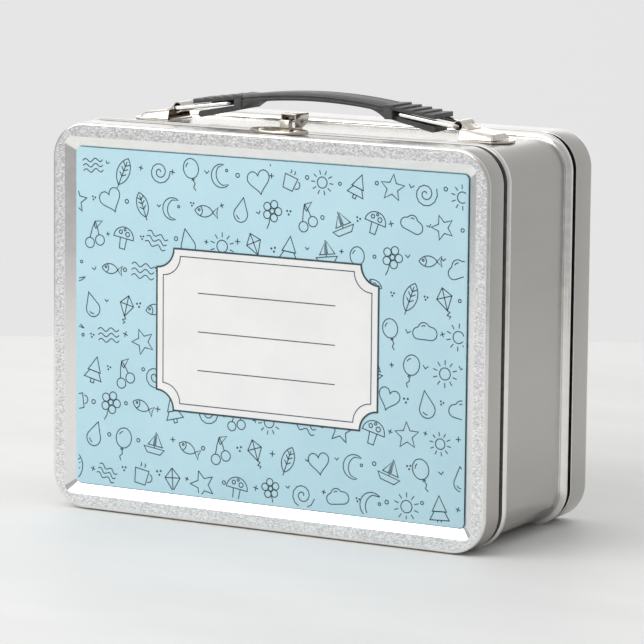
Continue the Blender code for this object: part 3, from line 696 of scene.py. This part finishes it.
def printedDesign():
    chance = random.Random(design["seed"])
    ink, label = bmesh.new(), bmesh.new()
    surface = panelLow.y
    front = surface - design["lift"]
    face = front - design["lift"]  # the label stands on the print
    middleX = (panelLow.x + panelHigh.x) / 2
    middleZ = (panelLow.z + panelHigh.z) / 2 - design["labelDrop"]
    halfX, halfZ = design["label"][0] / 2, design["label"][1] / 2
    edge = plaque(halfX, halfZ, design["notch"], middleX, middleZ)
    slab(label, edge, "Y", face, surface)
    inkStroke(ink, edge, True, design["labelLine"], surface, face - design["lift"])
    inner = plaque(halfX - design["frameIn"], halfZ - design["frameIn"], design["notch"], middleX, middleZ)
    inkStroke(ink, inner, True, design["line"], face, face - design["lift"])
    for row in design["rules"]:  # blank ruled lines
        z = middleZ + row * 2 * halfZ * design["ruleSpread"]
        rule = [(middleX - design["ruleHalf"] * halfX, z), (middleX + design["ruleHalf"] * halfX, z)]
        inkStroke(ink, rule, False, design["line"], face, face - design["lift"])

    def bare(x, z):
        inPanel = (panelLow.x + design["margin"] < x < panelHigh.x - design["margin"]
                   and panelLow.z + design["margin"] < z < panelHigh.z - design["margin"])
        offX, offZ = abs(x - middleX), abs(z - middleZ)
        underLabel = offX < halfX - design["under"] and offZ < halfZ - design["under"]
        inNotch = hypot(halfX - offX, halfZ - offZ) < design["notch"] - design["notchUnder"]
        return inPanel and (inNotch or not underLabel)

    bag = []
    wander, pitch, rowPitch = design["wander"], design["pitch"], design["rowPitch"]
    columns = int((panelHigh.x - panelLow.x) / pitch) + 2
    rows = int((panelHigh.z - panelLow.z) / (pitch * rowPitch)) + 2
    for j in range(rows):
        for i in range(columns):
            for big in (True, False):  # a small mark follows each motif
                if big:
                    size = chance.uniform(*design["size"])
                else:
                    size = design["small"] * chance.uniform(*design["smallVary"])
                shift = 0.0 if big else 0.5
                row = j + design["startRow"] + shift * design["smallDrop"]
                x = panelLow.x + (i + 0.5 * (j % 2) + shift) * pitch + chance.uniform(-wander, wander) * mm
                z = panelLow.z + row * pitch * rowPitch + chance.uniform(-wander, wander) * mm
                turn = radians(chance.uniform(-design["tilt"], design["tilt"]))
                if big and not bag:
                    bag = chance.sample(bigMotifs, len(bigMotifs))
                make = bag.pop() if big else chance.choice(smallMotifs)
                c, d = cos(turn), sin(turn)
                for spots, closed in make():
                    placed = [(x + size * (a * c - b * d), z + size * (a * d + b * c)) for a, b in spots]
                    for run, whole in keptRuns(placed, closed, bare):
                        inkStroke(ink, run, whole, design["line"], surface, front)
    newPiece("blankLabel", label, [paints["labelWhite"]], "front_lid")
    newPiece("lineMotifs", ink, [paints["lineInk"]], "front_lid")


printedDesign()
print("front printed")


# grip: arched bar with grooves, a collar block at each end and two jaws over the wire
grip = dict(inMm(crown=15.4, shoulder=12.4, bandTop=157.5, slotX=36.69, rootX=32.99, rootDrop=7.1, thick=3.2,
                 half=7.8, barHalf=7.55, overlap=1.2, lift=0.02, gusset=9, gussetIn=0.25, bury=0.6, foot=0.05,
                 tipX=56, tipThick=1.4, jawIn=1.0, jawRise=0.1, lowerTipX=55, lowerTip=2.7, lowerThick=1.8,
                 lowerHalf=5.4, lowerIn=0.5, lowerBack=1.2, slotStep=1.3, rootStep=1.8, ribRise=0.6,
                 ribGap=0.5, ribBack=0.35, lastRibBack=0.05, ribOver=0.12, barrelX=65, barrelZ=163.3,
                 wire=0.95, room=0.3),
            barSteps=48, gussetSteps=12, sunk=0.6, lowerTop=1.45, noseShare=0.75, ribs=5,
            linkSlope=radians(7.8))
gripEase = inMm(block=0.4, gusset=0.3, jaw=0.22, rib=0.18, lower=0.25)


def archTop(x):
    crown, shoulder = grip["bandTop"] + grip["crown"], grip["bandTop"] + grip["shoulder"]
    return crown - (crown - shoulder) * (x / grip["slotX"]) ** 2


def wireHeight(x):
    return grip["barrelZ"] + (grip["barrelX"] - x) * tan(grip["linkSlope"])


# half of the bar's section as (out, up), with a groove on top and one along the edge
def barSection():
    h, t = grip["barHalf"], grip["thick"]
    side = [(0, 0), (3.9 * mm, -0.03 * mm), (4.3 * mm, -0.32 * mm), (4.9 * mm, -0.34 * mm),
            (5.3 * mm, -0.08 * mm), (h - 1.0 * mm, -0.16 * mm), (h - 0.45 * mm, -0.32 * mm),
            (h - 0.12 * mm, -0.62 * mm), (h, -1.0 * mm), (h - 0.08 * mm, -1.18 * mm),
            (h - 0.5 * mm, -1.36 * mm), (h - 0.5 * mm, -1.9 * mm), (h - 0.08 * mm, -2.08 * mm),
            (h, -2.26 * mm),
            (h - 0.12 * mm, -t + 0.45 * mm), (h - 0.45 * mm, -t + 0.12 * mm), (h - 1.0 * mm, -t), (0, -t)]
    return side + [(-y, z) for y, z in side[-2:0:-1]]


def gripPiece():
    bm = bmesh.new()
    section = barSection()
    rootX, slotX, tipX, half = grip["rootX"], grip["slotX"], grip["tipX"], grip["half"]
    reach = rootX + grip["overlap"]
    rings = []
    for k in range(grip["barSteps"] + 1):
        x = -reach + 2 * reach * k / grip["barSteps"]
        rings.append([(x, y, archTop(x) + z) for y, z in section])
    skin(bm, rings)
    root = grip["bandTop"] + grip["rootDrop"]
    foot = root + grip["foot"]
    rise = grip["wire"] + grip["room"]
    tipUnder, slotUnder = wireHeight(tipX) + rise, wireHeight(slotX) + rise
    jawFall = (archTop(slotX) - tipUnder - grip["tipThick"]) / (tipX - slotX)
    pitch = (tipX - rootX) / grip["ribs"]

    def endSlab(side, points, width, ease, segments=2):
        slab(bm, sided(points, side), "Y", -width, width, ease, segments)

    for side in (-1, 1):
        # collar block and the gusset that runs up to the bar
        block = [(rootX, archTop(rootX) + grip["lift"]), (slotX, archTop(slotX)), (slotX, root),
                 (rootX, root)]
        endSlab(side, block, half, gripEase["block"], 3)
        start, buried = rootX - grip["gusset"], rootX + grip["bury"]
        under = archTop(start) - grip["thick"]
        curve = [(buried, foot)]
        for k in range(grip["gussetSteps"] + 1):
            share = k / grip["gussetSteps"]
            curve.append((rootX - grip["gusset"] * share, foot + (under - root) * (1 - (1 - share) ** 2)))
        for x in (start, start + grip["gusset"] / 2, buried):
            curve.append((x, archTop(x) - grip["thick"] * grip["sunk"]))
        endSlab(side, curve, grip["barHalf"] - grip["gussetIn"], gripEase["gusset"])
        # upper jaw and its ribs
        inner = slotX - grip["jawIn"]
        jaw = [(inner, archTop(slotX)), (tipX, tipUnder + grip["tipThick"]), (tipX, tipUnder),
               (inner, slotUnder + grip["jawRise"])]
        endSlab(side, jaw, half, gripEase["jaw"])
        for k in range(grip["ribs"]):
            outer = rootX + pitch * (k + 1) - grip["ribBack" if k < grip["ribs"] - 1 else "lastRibBack"]
            first, crest = outer - pitch + grip["ribGap"], outer - grip["ribGap"]
            rib = []
            for x, up in ((first, -0.1), (first, -1.6), (outer, -1.6), (outer, 0.9), (crest, 1.0)):
                rib.append((x, archTop(slotX) - jawFall * (x - slotX) + up * grip["ribRise"]))
            endSlab(side, rib, half + grip["ribOver"], gripEase["rib"])
        # lower jaw with a round nose
        tip, nose = grip["bandTop"] + grip["lowerTip"], grip["lowerThick"] * grip["noseShare"]
        end, middle, heel = grip["lowerTipX"] - nose, tip + nose, rootX + grip["lowerIn"]
        jaw = [(heel, foot)]
        for angle in [radians(-110 + 25 * k) for k in range(7)]:
            jaw.append((end + nose * cos(angle), middle + nose * sin(angle)))
        jaw.append((grip["lowerTipX"] - grip["lowerBack"], tip + grip["lowerThick"] * grip["lowerTop"]))
        jaw += [(slotX, root + grip["slotStep"]), (heel, root + grip["rootStep"])]
        endSlab(side, jaw, grip["lowerHalf"], gripEase["lower"])
    return newPiece("archGrip", bm, [paints["gripPlastic"]], "handle_grip", smooth=35)


archGrip = gripPiece()
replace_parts(archGrip, "handle_grip")
print("grip shaped")


# wire links: one closed loop each, bent round at four corners
link = dict(inMm(length=26, legY=6.8, bend=1.4), steps=7, sides=16)


def wireLink(name, node, body, side):
    corners = ((0, -1, pi), (link["length"], -1, 1.5 * pi), (link["length"], 1, 0), (0, 1, 0.5 * pi))
    path = []
    for along, y, start in corners:
        cx = link["bend"] if along == 0 else along - link["bend"]
        cy = y * (link["legY"] - link["bend"])
        for k in range(link["steps"] + 1):
            angle = start + k / link["steps"] * pi / 2
            path.append(Vector((cx + link["bend"] * cos(angle), cy + link["bend"] * sin(angle), 0)))
    slope = grip["linkSlope"]
    rings = []
    for i, spot in enumerate(path):
        run = (path[(i + 1) % len(path)] - path[i - 1]).normalized()
        out = Vector((run.y, -run.x, 0))
        ringPoints = []
        for k in range(link["sides"]):
            a = 2 * pi * k / link["sides"]
            p = spot + out * grip["wire"] * cos(a)
            b = grip["wire"] * sin(a)
            x = grip["barrelX"] - p.x * cos(slope) + b * sin(slope)
            ringPoints.append((side * x, p.y, grip["barrelZ"] + p.x * sin(slope) + b * cos(slope)))
        rings.append(ringPoints)
    bm = bmesh.new()
    skin(bm, rings, closed=True)
    piece = newPiece(name, bm, [hardware["brightWire"]], body, smooth=60)
    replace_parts(piece, node)


wireLink("leftWire", "wire_link_left", "left_link", -1)
wireLink("rightWire", "wire_link_right", "right_link", 1)
print("wires bent")


# catch: dished striker with its hooked tongue on the lid, channel lever and rolled pin on the band
catch = dict(inMm(x=1.5, sheet=0.6, seat=159.8, plateLength=26.5, plateWidth=9.4, plateY=-36.4,
                  tongueHalf=2.1, tongueTop=164.5, tongueBack=-31.8, ledge=0.5, hook=2.0, lidEdge=-33.0,
                  edgeEase=0.12, leverHalf=3.5, leverFront=-29.2, leverRear=-19.0, leverLow=161.2,
                  leverTop=166.75, leverFall=0.3, heel=1.2, roofEase=0.14, slack=0.05, collar=0.92,
                  collarIn=0.1, collarOut=0.03, ringFrom=0.02, pinY=-24.4, pinZ=163.5, pin=0.6,
                  pinBore=0.36, pinOver=0.4),
             plateSteps=48, pointed=1.25, tilt=0.11, facesDown=-0.7, collarSides=20, pinSides=18)
# (in from the edge, up from the seat) in mm
dishSteps = ((0.0, 0.0), (0.0, 0.5), (0.12, 0.82), (0.32, 0.95), (0.55, 0.9), (0.85, 0.55), (1.5, 0.36),
             (3.2, 0.3))
nickelZones = [hardware["warmNickel"], hardware["shadeNickel"]]


def catchSlab(bm, outline, start, end, ease=0.0):
    low, high = sorted((catch["x"] + start, catch["x"] + end))
    slab(bm, outline, "X", low, high, ease)


def strikerPlate():
    bm = bmesh.new()
    rings = []
    for inset, up in dishSteps:
        a, b = catch["plateLength"] / 2 - inset * mm, catch["plateWidth"] / 2 - inset * mm
        ringPoints = []
        for k in range(catch["plateSteps"]):
            t = 2 * pi * k / catch["plateSteps"]
            y = b * abs(sin(t)) ** catch["pointed"] * (1 if sin(t) >= 0 else -1)
            z = catch["seat"] + up * mm + (catch["tilt"] * (y + b) if up else 0)
            ringPoints.append((catch["x"] + a * cos(t), catch["plateY"] + y, z))
        rings.append(ringPoints)
    # the dish's sunken middle takes the dark nickel, painted shade
    skin(bm, rings, zones=[0, 0, 0, 0, 1, 1, 1, 1])
    t, back, top, seat = catch["sheet"], catch["tongueBack"], catch["tongueTop"], catch["seat"]
    ledge, edge, hook = seat + catch["ledge"], catch["lidEdge"], back + catch["hook"]
    path = [(catch["plateY"], seat), (edge, seat), (back, ledge), (back, top - t), (hook, top - t),
            (hook, top), (back - t, top), (back - t, ledge + t), (edge - t, seat + t),
            (catch["plateY"], seat + t)]
    catchSlab(bm, path, -catch["tongueHalf"], catch["tongueHalf"], catch["edgeEase"])
    return newPiece("strikerPlate", bm, nickelZones, "front_lid", smooth=35)


def channelLever():
    bm = bmesh.new()
    t, half, front, rear = catch["sheet"], catch["leverHalf"], catch["leverFront"], catch["leverRear"]
    top, rearTop, low = catch["leverTop"], catch["leverTop"] - catch["leverFall"], catch["leverLow"]
    cheek = [(front, low), (catch["pinY"] + catch["heel"], low), (rear, catch["pinZ"] - catch["pin"]),
             (rear, rearTop), (front, top)]
    roof = [(front, top), (rear, rearTop), (rear, rearTop - t), (front, top - t)]
    catchSlab(bm, roof, -half, half, catch["roofEase"])
    collar = circlePoints(catch["pinY"], catch["pinZ"], catch["collar"], catch["collarSides"])
    for side in (-1, 1):
        catchSlab(bm, cheek, side * half, side * (half - t), catch["edgeEase"])
        inEnd, outEnd = half - catch["collarIn"], half + catch["collarOut"]
        catchSlab(bm, collar, side * inEnd, side * outEnd)  # a ring painted dark, the shadow of the clearance round the pin
    # the channel's inner faces and the ring take the dark nickel, painted shade
    for face in bm.faces:
        off = face.calc_center_median().x - catch["x"]
        inward = off * face.normal.x < 0 or face.normal.z < catch["facesDown"]
        inner = abs(off) < half - t + catch["slack"] and inward
        ringFace = abs(off) > half + catch["ringFrom"]
        face.material_index = 1 if inner or ringFace else 0
    return newPiece("channelLever", bm, nickelZones, "latch_lever", smooth=35)


def rolledPin():
    bm = bmesh.new()
    y, z, half, over = catch["pinY"], catch["pinZ"], catch["leverHalf"], catch["pinOver"]
    outer, bore = (circlePoints(y, z, catch[key], catch["pinSides"]) for key in ("pin", "pinBore"))
    tube(bm, "X", outer, bore, catch["x"] - half - over, catch["x"] + half + over)
    return newPiece("rolledPin", bm, nickelZones, "box", smooth=35)


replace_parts(strikerPlate(), "latch_striker")
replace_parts(channelLever(), "latch_lever")
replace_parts(rolledPin(), "latch_pin")
print("catch built")


# handle brackets: a leaning-walled hood with an open mouth, and a barrel rolled on its roof strap
hood = dict(inMm(innerX=67.4, length=14.8, low=158.8, mouthHigh=3.8, noseHigh=1.9, mouthHalf=9.0,
                 noseHalf=7.5, nose=1.6, lean=1.0, ease=0.45, wall=0.7, hair=0.001, deep=2.6, pocketDrop=0.5,
                 barrel=2.2, bore=1.8, barrelHalf=5.1, barrelLift=0.25, strapSink=0.1, strapEase=0.08),
            noseSteps=6, pocketHigh=0.45, pocketWide=0.85, barrelSides=24)
# share of the height, share of the lean, further in, share of the ease
hoodRows = ((0, 0, 0, 0), (0.62, 0.62, 0, 0), (1, 1, -0.02 * mm, 1), (1, 1, 0.12 * mm, 0.45),
            (1, 1, 0.4 * mm, 0.1), (1, 1, 0.75 * mm, 0))
# the strap leaves the barrel at these angles and ends at (out from the mouth, up from the roof)
strapTurns = (-1.35, -0.9, -0.45, 0.0, 0.45)
strapFoot = ((1.2 * mm, 0.35 * mm), (2.6 * mm, -0.05 * mm), (2.6 * mm, -0.6 * mm), (0, -0.75 * mm))


def hoodPlan(inset):
    mouth, nose, turn = hood["mouthHalf"] - inset, hood["noseHalf"] - inset, hood["nose"]
    tip = hood["innerX"] + hood["length"] - inset
    points = [(hood["innerX"], mouth), (hood["innerX"], -mouth)]
    for quarter, centre in ((-1, turn - nose), (0, nose - turn)):
        points += quarterArc(tip - turn, centre, turn, quarter, hood["noseSteps"])
    return points


# the mouth: a frame as wide as the wall, and a pocket that narrows inwards
def hoodMouth(bm, side):
    def onMouth(face):
        return all(abs(abs(v.co.x) - hood["innerX"]) < hood["hair"] for v in face.verts)
    mouth = bmesh.ops.dissolve_faces(bm, faces=[f for f in bm.faces if onMouth(f)])["region"]
    rim = bmesh.ops.inset_region(bm, faces=mouth, thickness=hood["wall"], use_even_offset=True)["faces"]
    for face in [*rim, *mouth]:  # the cut edge takes the dark nickel of the inside, painted shade
        face.material_index = 1
    # the pocket and its walls take the dark nickel, painted shade
    for face in bmesh.ops.extrude_discrete_faces(bm, faces=mouth)["faces"]:
        face.material_index = 1
        bmesh.ops.translate(bm, verts=face.verts, vec=(side * hood["deep"], 0, 0))
        middle = face.calc_center_median()
        for v in face.verts:
            v.co.z = middle.z - hood["pocketDrop"] + (v.co.z - middle.z) * hood["pocketHigh"]
            v.co.y *= hood["pocketWide"]
        for edge in face.edges:
            for linked in edge.link_faces:
                linked.material_index = 1


def hoodPiece(name, node, side):
    bm = bmesh.new()
    fall = (hood["mouthHigh"] - hood["noseHigh"]) / hood["length"]
    rings = []
    for share, lean, further, ease in hoodRows:
        ringPoints = []
        for x, y in hoodPlan(lean * hood["lean"] + further):
            high = hood["mouthHigh"] - fall * (x - hood["innerX"])
            ringPoints.append((side * x, y, hood["low"] + share * high - ease * hood["ease"]))
        rings.append(ringPoints)
    skin(bm, rings)
    hoodMouth(bm, side)
    barrelX, half = grip["barrelX"], hood["barrelHalf"]
    barrelZ = grip["barrelZ"] + hood["barrelLift"]  # the wire hangs a little low in its bore
    rounds = [circlePoints(barrelX, barrelZ, hood[key], hood["barrelSides"]) for key in ("barrel", "bore")]
    tube(bm, "Y", *[sided(points, side) for points in rounds], -half, half)
    roof, r = hood["low"] + hood["mouthHigh"], hood["barrel"] - hood["strapSink"]
    strap = [(barrelX + r * cos(a), barrelZ + r * sin(a)) for a in strapTurns]
    strap += [(hood["innerX"] + out, roof + up) for out, up in strapFoot]
    slab(bm, sided(strap, side), "Y", -half, half, hood["strapEase"])
    piece = newPiece(name, bm, nickelZones, "box", smooth=35)
    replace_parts(piece, node)


hoodPiece("hoodLeft", "bracket_hood_left", -1)
hoodPiece("hoodRight", "bracket_hood_right", 1)
print("brackets folded")


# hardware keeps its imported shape; three stampings get eased edges
hardwareEase = {"latch_base": 0.14 * mm, "bracket_plate_left": 0.18 * mm, "bracket_plate_right": 0.18 * mm}
dressing = dict(weld=0.002 * mm, easeSteps=2, easeFrom=38)
for nodeName, node in nodes.items():
    if node.hide_render:
        continue
    look = hardware["warmNickel"]
    if "pin" in nodeName:
        look = hardware["brightWire"]
    # the hinge loops take the beads' brightened tin, a painted highlight
    elif "loop" in nodeName:
        look = tins["beadHighlightTin"]
    node.data.materials.clear()
    node.data.materials.append(look)
    weld = node.modifiers.new("weld", "WELD")
    weld.merge_threshold = dressing["weld"]
    if nodeName in hardwareEase:
        ease = node.modifiers.new("ease", "BEVEL")
        ease.width = hardwareEase[nodeName]
        ease.segments = dressing["easeSteps"]
        ease.limit_method = "ANGLE"
        ease.angle_limit = radians(dressing["easeFrom"])
print("hardware dressed")


# stage: a pale table top, a graded sky and soft lamps
stage = dict(floorFront=0.62, floorBack=0.46, floorSide=0.62, tableDark=(0.88, 0.88, 0.872),
             tablePale=(0.93, 0.93, 0.925), vein=0.16, tableRough=0.55, tableGloss=0.2, hang=1.0 * mm,
             skyDim=0.40, skyPale=0.79, skySpan=0.9, paleSide=(-0.8, 0.6, 0), leftDim=0.60, leftStart=0.70,
             leftFull=0.96)
photoSide, sensor = 644, 36
camera = dict(azimuth=29.56, elevation=8.65, roll=0.54, distance=1.6719, aimZ=0.07992,
              lens=4109 / photoSide * sensor, shiftX=2.5 / photoSide, shiftY=-1.9 / photoSide)
lamps = dict(
    keyCard=dict(place=(-0.88, -1.30, 1.12), aim=(0, 0, 0.06), size=(1.8, 1.3), power=16.3,
                 tint=(1, 0.99, 0.97)),
    backCard=dict(place=(-0.8, 1.4, 0.45), aim=(0, 0, 0.14), size=(1.6, 0.7), power=2.3),
    ceilingCard=dict(place=(-0.2, -0.3, 1.9), aim=(0, 0, 0), size=(2.0, 2.0), power=5.0))


def tableTop():
    bm = bmesh.new()
    turn = radians(camera["azimuth"])
    away, across = Vector((-sin(turn), cos(turn), 0)), Vector((cos(turn), sin(turn), 0))
    front, back = -stage["floorFront"], stage["floorBack"]
    corners = []
    for a, b in ((-1, front), (1, front), (1, back), (-1, back)):
        spot = across * a * stage["floorSide"] + away * b
        corners.append(bm.verts.new((spot.x, spot.y, cadBox[0].z)))
    bm.faces.new(corners)
    everything = bm.verts[:] + bm.edges[:] + bm.faces[:]
    bmesh.ops.bisect_plane(bm, geom=everything, plane_co=(0, band["frontBead"][0], 0), plane_no=(0, 1, 0))
    mesh = meshFrom("tableTop", bm)
    finish = {"Roughness": stage["tableRough"], "Specular IOR Level": stage["tableGloss"]}
    material, tree, shader = newLook("paleTable", finish)
    vein = noiseFrom(tree, partSpace(tree, (1, 2.5, 1)), stage["vein"], detail=6.0)
    tone = ramp(tree, vein, [(0.3, stage["tableDark"]), (0.62, stage["tablePale"])])
    feed(tree, tone, shader, "Base Color")
    mesh.materials.append(material)
    floor = addObject("tableTop", mesh)
    return floor


# the open lid hangs below the table's plane; the table then ends under the front bead, as at a table's edge
def openEdge(floor):
    group = bpy.data.node_groups.new("openEdge", "GeometryNodeTree")
    for way in ("INPUT", "OUTPUT"):
        group.interface.new_socket("Geometry", in_out=way, socket_type="NodeSocketGeometry")
    top = group.nodes.new("NodeGroupInput")
    shown = group.nodes.new("NodeGroupOutput")
    lidPlace = addNode(group, "GeometryNodeObjectInfo", transform_space="RELATIVE", Object=lid)
    lidReach = group.nodes.new("GeometryNodeBoundBox")
    lidLowest = group.nodes.new("ShaderNodeSeparateXYZ")
    limits = cadBox[0].z - stage["hang"], band["frontBead"][0]
    less = dict(data_type="FLOAT", operation="LESS_THAN")
    hanging, inFront = (addNode(group, "FunctionNodeCompare", **less, B=limit) for limit in limits)
    spot = group.nodes.new("GeometryNodeInputPosition")
    spotParts = group.nodes.new("ShaderNodeSeparateXYZ")
    both = addNode(group, "FunctionNodeBooleanMath", operation="AND")
    cut = addNode(group, "GeometryNodeDeleteGeometry", domain="FACE")
    joins = ((lidPlace.outputs["Geometry"], lidReach.inputs["Geometry"]),
             (lidReach.outputs["Min"], lidLowest.inputs[0]),
             (lidLowest.outputs["Z"], hanging.inputs["A"]), (spot.outputs["Position"], spotParts.inputs[0]),
             (spotParts.outputs["Y"], inFront.inputs["A"]), (hanging.outputs[0], both.inputs[0]),
             (inFront.outputs[0], both.inputs[1]), (both.outputs[0], cut.inputs["Selection"]),
             (top.outputs[0], cut.inputs["Geometry"]), (cut.outputs[0], shown.inputs[0]))
    for start, end in joins:
        group.links.new(start, end)
    floor.modifiers.new("openEdge", "NODES").node_group = group


def softLamp(name, place, aim, size, power, tint=(1, 1, 1)):
    lamp = bpy.data.lights.new(name, "AREA")
    lamp.shape = "RECTANGLE"
    lamp.size, lamp.size_y = size
    lamp.energy = power
    lamp.color = tint
    holder = addObject(name, lamp)
    holder.location = place
    holder.visible_camera = False
    holder.rotation_euler = (Vector(aim) - Vector(place)).to_track_quat("-Z", "Y").to_euler()


# room light: paler at the far left, dimmer at the near right and full left
def roomSky():
    world = bpy.data.worlds.new("roomSky")
    world.use_nodes = True
    tree = world.node_tree
    place = tree.nodes.new("ShaderNodeTexCoord")
    along = addNode(tree, "ShaderNodeVectorMath", operation="DOT_PRODUCT")
    along.inputs[1].default_value = stage["paleSide"]
    feed(tree, place.outputs["Generated"], along, 0)
    span = stage["skySpan"]
    tone = spread(tree, along.outputs["Value"], stage["skyDim"], stage["skyPale"], -span, span)
    split = tree.nodes.new("ShaderNodeSeparateXYZ")
    feed(tree, place.outputs["Generated"], split, 0)
    left = spread(tree, split.outputs["X"], 1.0, stage["leftDim"], -stage["leftStart"], -stage["leftFull"])
    level = addNode(tree, "ShaderNodeMath", operation="MULTIPLY")
    feed(tree, tone, level, 0)
    feed(tree, left, level, 1)
    feed(tree, level.outputs[0], tree.nodes["Background"], "Color")
    scene.world = world


openEdge(tableTop())
roomSky()
for lampName, lamp in lamps.items():
    softLamp(lampName, **lamp)


def photoCamera():
    az, el, roll = (radians(camera[k]) for k in ("azimuth", "elevation", "roll"))
    back = Vector((sin(az) * cos(el), -cos(az) * cos(el), sin(el)))
    right = Vector((cos(az), sin(az), 0))
    up = back.cross(right)
    r = right * cos(roll) + up * sin(roll)
    u = up * cos(roll) - right * sin(roll)
    data = bpy.data.cameras.new("photoCamera")
    data.lens = camera["lens"]
    data.sensor_width = sensor
    data.shift_x, data.shift_y = camera["shiftX"], camera["shiftY"]
    holder = addObject("photoCamera", data)
    turnMatrix = Matrix((r, u, back)).transposed().to_4x4()
    place = Vector((0, 0, camera["aimZ"])) + back * camera["distance"]
    holder.matrix_world = Matrix.Translation(place) @ turnMatrix
    scene.camera = holder


photoCamera()
bpy.context.view_layer.update()
